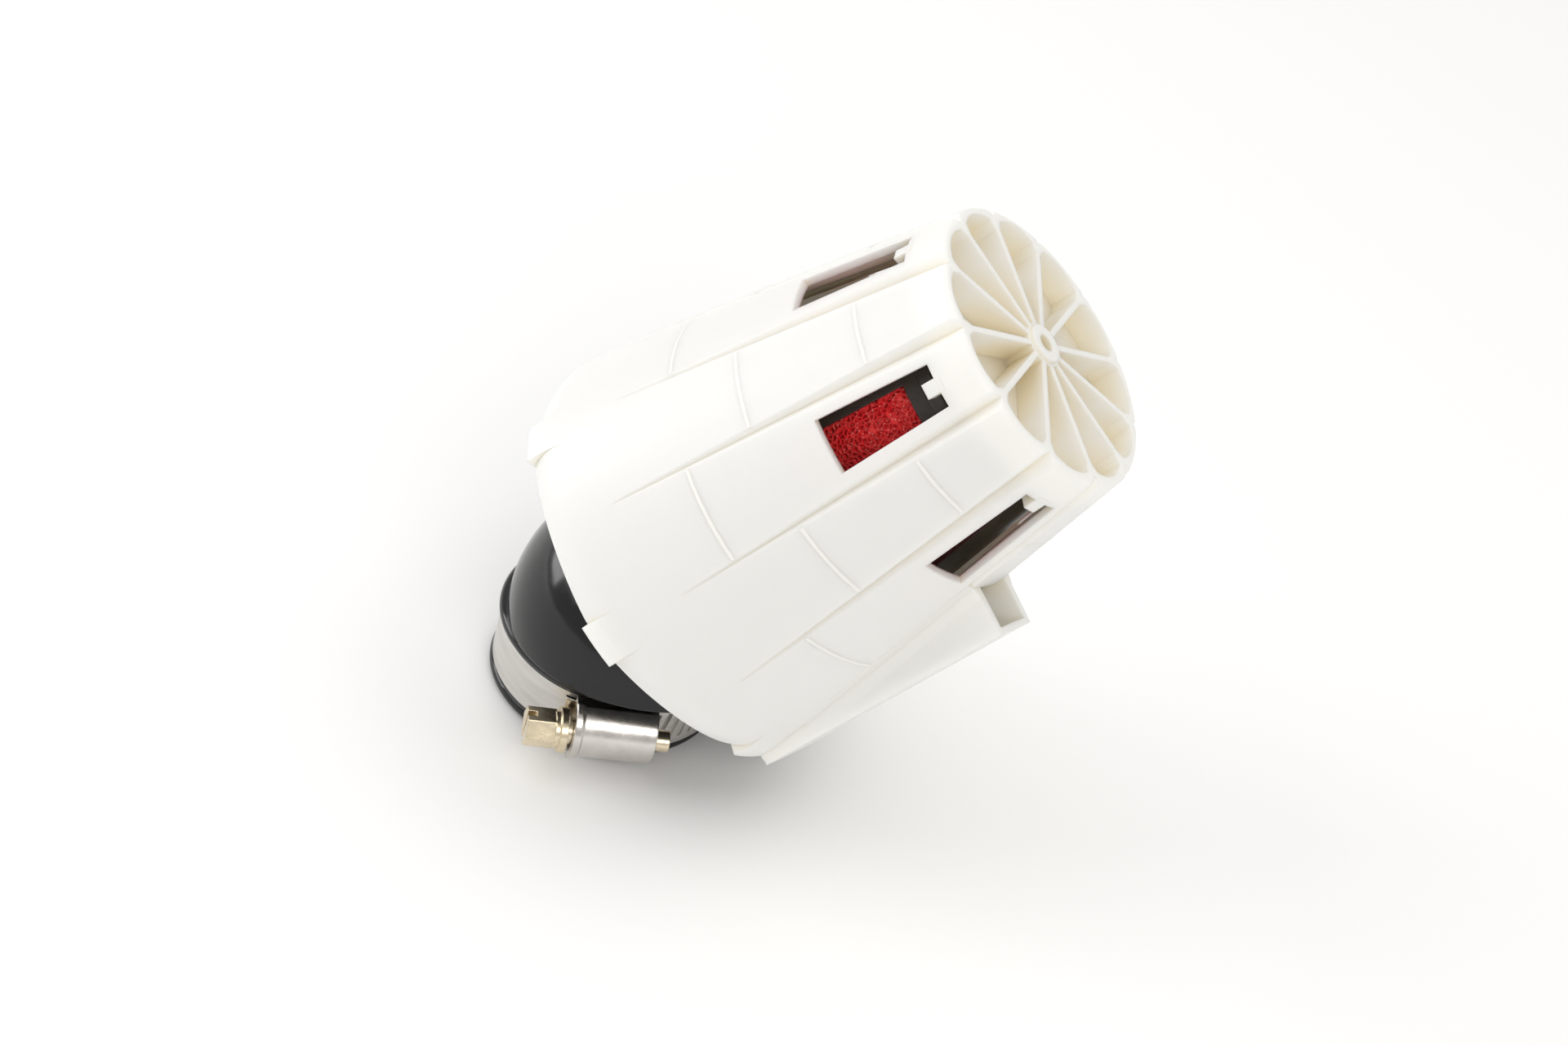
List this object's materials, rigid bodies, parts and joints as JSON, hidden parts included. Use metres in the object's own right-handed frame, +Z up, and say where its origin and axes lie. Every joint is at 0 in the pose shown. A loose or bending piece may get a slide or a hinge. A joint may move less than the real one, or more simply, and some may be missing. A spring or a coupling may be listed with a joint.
{
  "type": "clamp-on air filter",
  "caption": "Cone air filter for a small engine: red foam in a slotted cage under a vented white hood with a side scoop, on an angled rubber boot with a worm clamp.",
  "frame": {"origin": "centre of the rubber neck's mouth, in the plane of its lower lip", "axes": "+Z up the neck's axis into the filter; the hood leans 36 degrees from +Z towards +X; +Y completes a right-handed frame"},
  "size_m": [0.0964, 0.0738, 0.1094],
  "materials": {
    "hood_plastic": "satin warm white, slightly translucent",
    "cage_plastic": "satin black",
    "core_plastic": "matt black",
    "foam": "open-cell red foam",
    "boot_rubber": "glossy black rubber",
    "clamp_steel": "rolled stainless steel",
    "screw_zinc": "pale yellow zinc plating"
  },
  "bodies": {
    "boot_body": {"boot": "boot_rubber"},
    "base_body": {"base_ring": "cage_plastic", "core": "core_plastic"},
    "filter_body": {"cage": "cage_plastic", "cage_lid": "cage_plastic", "foam_sleeve": "foam", "foam_disc": "foam"},
    "hood_body": {"hood": "hood_plastic"},
    "clamp_body": {"clamp_band": "clamp_steel", "clamp_saddle": "clamp_steel", "clamp_housing": "clamp_steel"},
    "screw_body": {"clamp_screw": "screw_zinc"}
  },
  "joints": [
    {"name": "base_turn", "type": "hinge", "parent": "boot_body", "child": "base_body", "pos_m": [0.00717, 0, 0.03087], "axis": [0.5878, 0, 0.809], "continuous": true},
    {"name": "filter_pull", "type": "slide", "parent": "base_body", "child": "filter_body", "axis": [0.5878, 0, 0.809], "range_m": [0, 0.065]},
    {"name": "hood_pull", "type": "slide", "parent": "filter_body", "child": "hood_body", "axis": [0.5878, 0, 0.809], "range_m": [0, 0.085]},
    {"name": "clamp_turn", "type": "hinge", "parent": "boot_body", "child": "clamp_body", "pos_m": [0, 0, 0.00735], "axis": [0, 0, 1], "range_deg": [-120, 10]},
    {"name": "screw_turn", "type": "hinge", "parent": "clamp_body", "child": "screw_body", "pos_m": [0.00664, -0.02317, 0.00825], "axis": [0.9613, 0.2756, 0], "continuous": true}
  ]
}
